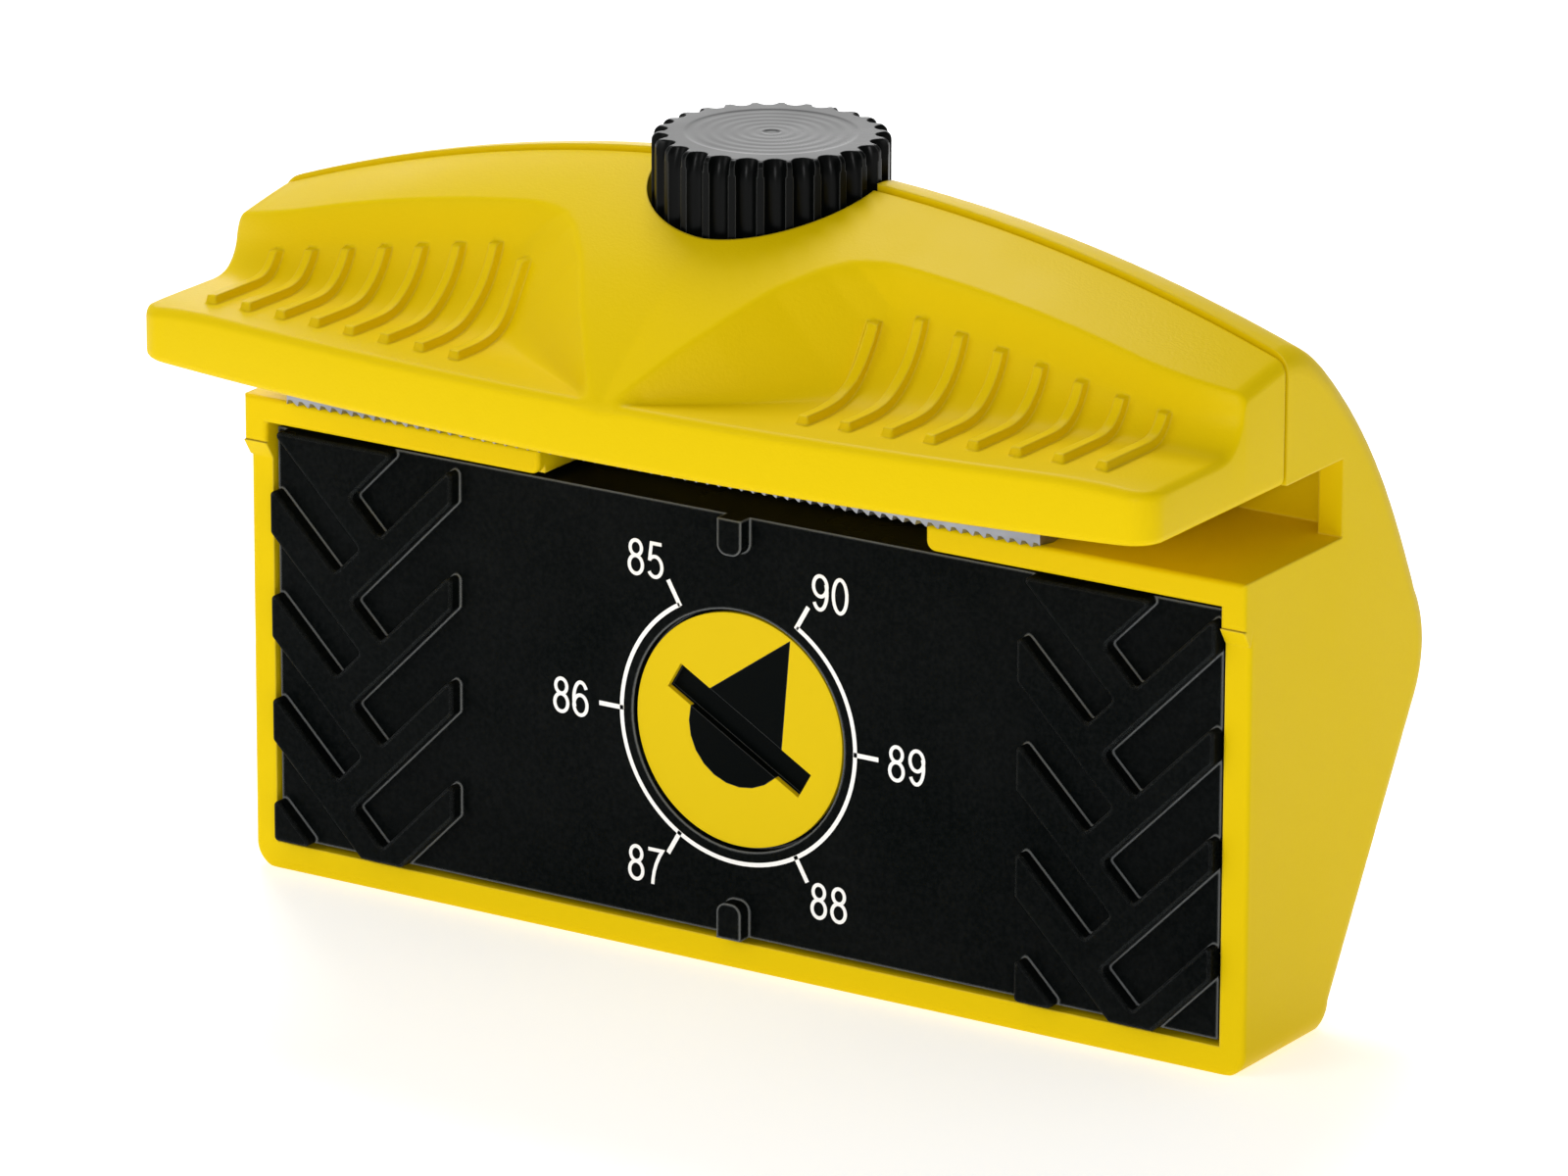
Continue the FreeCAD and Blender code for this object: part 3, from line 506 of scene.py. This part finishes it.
def cover_grid(work):
    """Top skin, one line of vertices per station, with raised ribs and a rounded seam edge."""
    grid = []
    for x in cover_columns():
        grid.append([work.verts.new((x, y, z)) for y, z in cover_profile(x)])
    for left, right in zip(grid[:-1], grid[1:]):
        for row in range(len(left) - 1):
            work.faces.new((left[row], right[row], right[row + 1], left[row + 1]))
    work.normal_update()
    verts = [vert for line in grid for vert in line]
    lifts = [(vert, vert.normal * (RIB_HEIGHT * rib_amount(*vert.co))) for vert in verts]
    for vert, lift in lifts:
        vert.co += lift
    for vert in verts:
        inset = quarter(SEAM_BACK - vert.co.y, SEAM_ROUND)
        vert.co.z -= inset
        if abs(vert.co.x) > HALF - SEAM_ROUND:
            vert.co.x -= math.copysign(inset, vert.co.x)
    return grid


# Rounding of the underside's edge: (inset, height over the underside), from the side wall inwards.
UNDER_EDGE = [(0.0, 1.1), (0.05, 0.7), (0.2, 0.4), (0.45, 0.17), (0.8, 0.03), (1.1, 0.0)]


def close_below(work, grid):
    """Side walls down from the skin's rim, the rounded lower edge and the flat underside."""
    rim = [line[0] for line in grid]
    rim += grid[-1][1:]
    rim += [line[-1] for line in reversed(grid[:-1])]
    rim += list(reversed(grid[0][1:-1]))
    middle = 0.5 * (LIP_FRONT + SEAM_BACK)
    previous = rim
    for inset, height in UNDER_EDGE:
        ring = []
        for vert in rim:
            place = vert.co.copy()
            place.z = SLOT_TOP + height
            if abs(place.x) > HALF - CORNER:
                place.x -= math.copysign(inset, place.x)
            if place.y < middle:
                place.y += inset
            ring.append(work.verts.new(place))
        for index in range(len(rim)):
            after = (index + 1) % len(rim)
            work.faces.new((previous[after], previous[index], ring[index], ring[after]))
        previous = ring
    work.faces.new(previous)


POCKET_FLOOR = 84.5                         # the knob's pocket in the dome
COLLAR_FLOOR = 75.5                         # groove that traps the knob's collar
COLLAR_ROOM = 3.6
BORE_FOOT = 72.0
PRESS_ROOM = 3.8                            # height of the pressure plate's room over the slot


def build_cover():
    """Front cover: a dense skin with sides and a flat underside, cut like the CAD piece."""
    work = bmesh.new()
    close_below(work, cover_grid(work))
    bmesh.ops.triangulate(work, faces=[face for face in work.faces if len(face.verts) > 4])
    piece = piece_from_mesh("front_cover_skin", mesh_from_bmesh("front_cover_skin", work), YELLOW)
    axis = (0, 0, 1)
    subtract(piece, [
        rod_tool(KNOB_RADIUS + 0.5, (0, SEAM, POCKET_FLOOR), axis, 12, 160),
        rod_tool(9.0, (0, SEAM, COLLAR_FLOOR), axis, COLLAR_ROOM),
        rod_tool(6.8, (0, SEAM, BORE_FOOT), axis, 15),
        rod_tool(3.3, (0, SEAM, 60.0), axis, 20, 48),
        box_tool(-21, 21, -5.575, 8, SLOT_TOP - 2, SLOT_TOP + PRESS_ROOM),
    ])
    piece.data.shade_smooth()
    piece.data.set_sharp_from_angle(angle=math.radians(38))
    return piece


# ------------------------------------------------------------------ clamp knob
FLUTES = 26
FLUTE_CENTRE = 13.35                        # distance of a flute's axis from the knob's
FLUTE_RADIUS = 1.15
FLUTE_LEAN = 0.75                           # how far the flutes come in at the top
LEAN_HEIGHT = 3.0                           # over this last part of the height
FLUTE_SIDES = 22                            # mesh steps per flute
RIM = 0.9                                   # rounding of the cap's upper edge
BORE_TOP = 90.5
BORE_RADIUS = 5.0
COLLAR_RADIUS = 8.5
COLLAR_HEIGHT = 2.0
HUB_RADIUS = 6.5
TURNED_RADIUS = 9.6                         # the slightly sunk turned face on the top


def flute_limit(angle, height):
    """Distance from the knob's axis to the wall of the nearest flute, which leans in towards the top."""
    pitch = 2 * math.pi / FLUTES
    off = (angle + pitch / 2) % pitch - pitch / 2
    lean = clamp((height - KNOB_TOP + LEAN_HEIGHT) / LEAN_HEIGHT, 0.0, 1.0)
    centre = FLUTE_CENTRE - FLUTE_LEAN * lean * lean
    across = centre * math.sin(off)
    if abs(across) >= FLUTE_RADIUS:
        return KNOB_RADIUS + 1.0
    return centre * math.cos(off) - math.sqrt(FLUTE_RADIUS ** 2 - across ** 2)


def knob_profile():
    """Points (radius, height, fluted) from the bore, round the collar and cap, to the top's middle."""
    low = knob_low.z
    points = [
        (0.001, BORE_TOP, False),
        (BORE_RADIUS, BORE_TOP, False),
        (BORE_RADIUS, low, False),
        (COLLAR_RADIUS, low, False),
        (COLLAR_RADIUS, low + COLLAR_HEIGHT, False),
        (HUB_RADIUS, low + COLLAR_HEIGHT, False),
        (HUB_RADIUS, KNOB_SKIRT, False),
    ]
    for step in range(6):
        points.append((9.0 + 0.8 * step, KNOB_SKIRT, True))
    points.append((KNOB_RADIUS - 0.15, KNOB_SKIRT, True))
    for step in range(13):
        share = step / 12
        height = KNOB_SKIRT + 0.15 + share * (KNOB_TOP - RIM - KNOB_SKIRT - 0.15)
        points.append((KNOB_RADIUS, height, True))
    for step in range(1, 13):
        angle = math.pi / 2 * step / 12
        radius = KNOB_RADIUS - RIM * (1 - math.cos(angle))
        points.append((radius, KNOB_TOP - RIM * (1 - math.sin(angle)), True))
    rings = 60
    for step in range(1, rings):
        radius = (KNOB_RADIUS - RIM) * (1 - step / rings)
        height = KNOB_TOP
        if radius < TURNED_RADIUS:
            height -= 0.05 + 0.010 * math.sin(radius * 4.4)
        if radius < 1.0:
            height -= 0.08
        points.append((radius, height, radius > 9))
    points.append((0.001, KNOB_TOP - 0.13, False))
    return points


def build_knob():
    """Fluted cap with its collar, turned round the knob's axis."""
    work = bmesh.new()
    sides = FLUTES * FLUTE_SIDES
    previous = None
    for radius, height, fluted in knob_profile():
        ring = []
        for side in range(sides):
            angle = 2 * math.pi * side / sides
            reach = smooth_min(radius, flute_limit(angle, height), 0.25) if fluted else radius
            spot = (reach * math.cos(angle), SEAM + reach * math.sin(angle), height)
            ring.append(work.verts.new(spot))
        if previous:
            for side in range(sides):
                after = (side + 1) % sides
                work.faces.new((previous[side], previous[after], ring[after], ring[side]))
        else:
            work.faces.new(list(reversed(ring)))
        previous = ring
    work.faces.new(previous)
    return piece_from_mesh("fluted_knob", mesh_from_bmesh("fluted_knob", work), KNOB_BLACK, 40)


# ------------------------------------------------------------------ edge file
TOOTH_PITCH = 1.5
TOOTH_DEPTH = 0.55
TOOTH_SLANT = 0.35                          # shift along X per millimetre of depth
# One tooth: (share of the pitch, share of the depth).
TOOTH_SHAPE = [(0.0, 0.0), (0.12, 1.0), (0.42, 1.0), (0.85, 0.15)]
FILE_MARGIN = 12.0                          # drawn too long by this, then cut to length


def build_file():
    """File bar with slanted saw teeth on both broad faces."""
    work = bmesh.new()
    count = int((file_high.x - file_low.x + 2 * FILE_MARGIN) / TOOTH_PITCH)
    rows = []
    for y in (file_low.y, file_high.y):
        low_row = []
        high_row = []
        for tooth in range(count):
            for along, depth in TOOTH_SHAPE:
                slant = TOOTH_SLANT * (y - file_low.y)
                x = file_low.x - FILE_MARGIN + (tooth + along) * TOOTH_PITCH + slant
                cut = TOOTH_DEPTH * depth
                low_row.append(work.verts.new((x, y, file_low.z + cut)))
                high_row.append(work.verts.new((x, y, file_high.z - cut)))
        rows.append((low_row, high_row))
    (front_low, front_high), (back_low, back_high) = rows
    for index in range(len(front_low) - 1):
        after = index + 1
        work.faces.new((front_low[index], front_low[after], front_high[after], front_high[index]))
        work.faces.new((back_low[index], back_high[index], back_high[after], back_low[after]))
        work.faces.new((front_high[index], front_high[after], back_high[after], back_high[index]))
        work.faces.new((front_low[index], back_low[index], back_low[after], front_low[after]))
    for x, side in ((file_low.x, -1), (file_high.x, 1)):
        geometry = work.verts[:] + work.edges[:] + work.faces[:]
        cut = bmesh.ops.bisect_plane(work, geom=geometry, plane_co=(x, 0, 0), plane_no=(side, 0, 0),
                                     clear_outer=True)
        border = [item for item in cut["geom_cut"] if isinstance(item, bmesh.types.BMEdge)]
        bmesh.ops.edgeloop_fill(work, edges=border)
    return piece_from_mesh("toothed_file", mesh_from_bmesh("toothed_file", work), FILE_STEEL)


# ------------------------------------------------------------------ printed scale
def flat_ring(work, inner, outer, start, end, y):
    """Flat ring sector facing the front, angles in degrees from +X, anticlockwise."""
    steps = max(2, int(abs(end - start) / 3))
    previous = None
    for step in range(steps + 1):
        angle = math.radians(start + (end - start) * step / steps)
        direction = Vector((math.cos(angle), 0, math.sin(angle)))
        centre = Vector((0, y, DIAL_Z))
        pair = [work.verts.new(centre + direction * inner), work.verts.new(centre + direction * outer)]
        if previous:
            work.faces.new((previous[0], previous[1], pair[1], pair[0]))
        previous = pair


INK_LIFT = 0.03                             # print in front of the plate
RING_RADIUS = 15.5
RING_HALF = 0.25
TICK_RADIUS = 18.55
TICK_HALF = 0.27
SCALE_START = 120                           # degrees, where the first of the six marks is
SCALE_SWEEP = 300
MARKS = 6


def build_scale():
    """Printed ring with a tick at each degree of edge angle."""
    work = bmesh.new()
    face = PLATE_FACE - INK_LIFT
    inner = RING_RADIUS - RING_HALF
    outer = RING_RADIUS + RING_HALF
    flat_ring(work, inner, outer, SCALE_START, SCALE_START + SCALE_SWEEP, face)
    for mark in range(MARKS):
        angle = math.radians(SCALE_START + SCALE_SWEEP / (MARKS - 1) * mark)
        direction = Vector((math.cos(angle), 0, math.sin(angle)))
        across = Vector((-direction.z, 0, direction.x)) * TICK_HALF
        centre = Vector((0, face, DIAL_Z))
        near = centre + direction * (RING_RADIUS - 0.2)
        far = centre + direction * TICK_RADIUS
        spots = (near - across, far - across, far + across, near + across)
        work.faces.new([work.verts.new(spot) for spot in spots])
    return solidify(mesh_from_bmesh("angle_scale", work), "angle_scale")


def solidify(mesh, name):
    """Give flat print its thickness, with the back just inside the plate."""
    work = bmesh.new()
    work.from_mesh(mesh)
    bpy.data.meshes.remove(mesh)
    made = bmesh.ops.extrude_face_region(work, geom=work.faces[:])
    for item in made["geom"]:
        if isinstance(item, bmesh.types.BMVert):
            item.co.y += 2 * INK_LIFT
    return piece_from_mesh(name, mesh_from_bmesh(name, work), WHITE_INK)


# Middle of each number from the dial's axis, along X and Z.
LABELS = {"90": (12.2, 18.0), "89": (22.3, 0.0), "88": (12.2, -18.0),
          "87": (-12.2, -18.0), "86": (-22.3, 0.0), "85": (-12.2, 18.0)}
DIGIT_HEIGHT = 4.3
DIGIT_STEP = 2.62
DIGIT_SHIFT = 0.03
STROKE = 0.42
LAYER_STEP = 0.2                            # strokes that cross lie at different depths


def oval(x, z, half_width, half_height, start, end, steps=36):
    """Part of an ellipse in a digit's unit box, angles in degrees, anticlockwise."""
    points = []
    for step in range(steps + 1):
        angle = math.radians(start + (end - start) * step / steps)
        points.append((x + half_width * math.cos(angle), z + half_height * math.sin(angle)))
    return points


# Strokes of each digit in a box of unit height.
DIGITS = {
    "0": [oval(0.28, 0.5, 0.205, 0.452, 0, 360)],
    "5": [[(0.47, 0.952), (0.155, 0.952), (0.095, 0.47)], oval(0.265, 0.325, 0.215, 0.277, 143, -148)],
    "6": [oval(0.275, 0.322, 0.205, 0.274, 0, 360), oval(0.285, 0.50, 0.215, 0.452, 37, 212)],
    "7": [[(0.05, 0.952), (0.49, 0.952), (0.40, 0.80), (0.30, 0.58), (0.235, 0.36), (0.20, 0.16),
           (0.185, 0.0)]],
    "8": [oval(0.28, 0.748, 0.175, 0.204, 0, 360), oval(0.28, 0.292, 0.205, 0.244, 0, 360)],
    "9": [oval(0.285, 0.678, 0.205, 0.274, 0, 360), oval(0.275, 0.50, 0.215, 0.452, 32, -143)],
}


def draw_stroke(work, points, left, low, y):
    """Ribbon of constant width along the points of one stroke."""
    places = [Vector((left + u * DIGIT_HEIGHT, low + v * DIGIT_HEIGHT)) for u, v in points]
    closed = (places[0] - places[-1]).length < 1e-4
    if closed:
        places.pop()
    count = len(places)
    pairs = []
    for index, place in enumerate(places):
        before = places[index - 1] if closed or index > 0 else place
        after = places[(index + 1) % count] if closed or index < count - 1 else place
        arriving = (place - before).normalized() if before != place else (after - place).normalized()
        leaving = (after - place).normalized() if after != place else arriving
        across = Vector((-(arriving + leaving).y, (arriving + leaving).x)).normalized()
        lean = max(0.5, across.dot(Vector((-leaving.y, leaving.x))))
        offset = across * (STROKE / 2 / lean)
        pairs.append([work.verts.new((spot.x, y, spot.y)) for spot in (place - offset, place + offset)])
    for index in range(count if closed else count - 1):
        near, far = pairs[index], pairs[(index + 1) % count]
        work.faces.new((near[0], far[0], far[1], near[1]))


def build_labels():
    """The six edge angles, printed upright round the ring."""
    pieces = []
    for text, (x, z) in LABELS.items():
        work = bmesh.new()
        for place, digit in enumerate(text):
            left = x + (place - 1) * DIGIT_STEP + DIGIT_SHIFT
            for layer, stroke in enumerate(DIGITS[digit]):
                face = PLATE_FACE - INK_LIFT * (1 + LAYER_STEP * layer)
                draw_stroke(work, stroke, left, DIAL_Z + z - DIGIT_HEIGHT / 2, face)
        pieces.append(solidify(mesh_from_bmesh("label", work), "angle_label_" + text))
    return pieces


# ------------------------------------------------------------------ stage, light and camera
FLOOR_GLOW = 0.50                            # the lit paper under and behind the tool
ROOM_LEAN = (-0.75, -0.65, 0.0)             # the room is brightest on this side
ROOM_DIM = 0.20
ROOM_BRIGHT = 0.60
FLOOR_SIZE = 6.0
LIGHT_TARGET = (0, 0, 0.05)
LIGHTS = [                                   # name, place, diameter, power
    ("key", (-0.55, -0.80, 0.55), 0.5, 1.5),
    ("front", (0.60, -1.00, 0.38), 0.13, 3.2),
    ("back_panel", (-0.75, 1.15, 0.42), 0.7, 3.0),
    ("top", (-0.40, 0.55, 1.00), 0.5, 7.6),
]


def build_stage():
    """Plain pale floor."""
    material, tree, shader = new_material("floor_paper")
    vector = object_coords(tree)
    shade = noise(tree, vector, 8.0, 3.0)
    colour = mix_colour(tree, shade, (0.93, 0.93, 0.93), (0.95, 0.95, 0.95))
    tree.links.new(colour, shader.inputs["Base Color"])
    shader.inputs["Roughness"].default_value = 0.9
    shader.inputs["Emission Color"].default_value = (1, 1, 1, 1)
    shader.inputs["Emission Strength"].default_value = FLOOR_GLOW
    work = bmesh.new()
    bmesh.ops.create_grid(work, x_segments=1, y_segments=1, size=FLOOR_SIZE)
    mesh = mesh_from_bmesh("floor", work)
    mesh.materials.append(material)
    floor = bpy.data.objects.new("floor", mesh)
    bpy.context.scene.collection.objects.link(floor)


def area_light(name, place, target, size, power):
    """Round soft light that faces the target."""
    data = bpy.data.lights.new(name, "AREA")
    data.shape = "DISK"
    data.size = size
    data.energy = power
    lamp = bpy.data.objects.new(name, data)
    lamp.location = place
    lamp.rotation_euler = (Vector(target) - Vector(place)).to_track_quat("-Z", "Y").to_euler()
    bpy.context.scene.collection.objects.link(lamp)


def build_lights():
    """Soft white room, brighter to the front and left, with one large panel behind."""
    world = bpy.data.worlds.new("studio")
    world.use_nodes = True
    tree = world.node_tree
    background = tree.nodes["Background"]
    coords = tree.nodes.new("ShaderNodeTexCoord")
    lean = add(tree, "ShaderNodeVectorMath", operation="DOT_PRODUCT")
    lean.inputs[1].default_value = ROOM_LEAN
    tree.links.new(coords.outputs["Generated"], lean.inputs[0])
    strength = ramp(tree, lean.outputs["Value"], -1.0, 1.0, ROOM_DIM, ROOM_BRIGHT)
    background.inputs["Color"].default_value = (1, 1, 1, 1)
    tree.links.new(strength, background.inputs["Strength"])
    bpy.context.scene.world = world
    for name, place, size, power in LIGHTS:
        area_light(name, place, LIGHT_TARGET, size, power)


AZIMUTH = 32.844                             # degrees
ELEVATION = 17.485
ROLL = 0.173
DISTANCE = 1.165055                          # metres
AIM = Vector((6.326, -6.175, 45.742)) * MM
SENSOR = 36.0                                # millimetres, as is the lens
LENS = 242.2035


def build_camera():
    """Camera at the three-quarter view from the front right."""
    azimuth = math.radians(AZIMUTH)
    elevation = math.radians(ELEVATION)
    level = math.cos(elevation)
    back = Vector((math.sin(azimuth) * level, -math.cos(azimuth) * level, math.sin(elevation)))
    right = Vector((math.cos(azimuth), math.sin(azimuth), 0))
    up = back.cross(right)
    roll = math.radians(ROLL)
    turned_right = right * math.cos(roll) + up * math.sin(roll)
    turned_up = up * math.cos(roll) - right * math.sin(roll)
    data = bpy.data.cameras.new("camera")
    data.sensor_width = SENSOR
    data.lens = LENS
    data.clip_start = 0.05
    data.clip_end = 20.0
    camera = bpy.data.objects.new("camera", data)
    axes = Matrix((turned_right, turned_up, back)).transposed().to_4x4()
    camera.matrix_world = Matrix.Translation(AIM + back * DISTANCE) @ axes
    bpy.context.scene.collection.objects.link(camera)
    bpy.context.scene.camera = camera


# ------------------------------------------------------------------ put it together
build_camera()
build_lights()
build_stage()
paint_frame()
bpy.context.scene.view_settings.view_transform = "Standard"

cover = build_cover()
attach(cover, "shell")
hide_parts("front_cover")

knob = build_knob()
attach(knob, "knob")
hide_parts("clamp_knob")

file_bar = build_file()
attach(file_bar, "file")
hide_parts("edge_file")

scale = build_scale()
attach(scale, "plate")
for label in build_labels():
    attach(label, "plate")
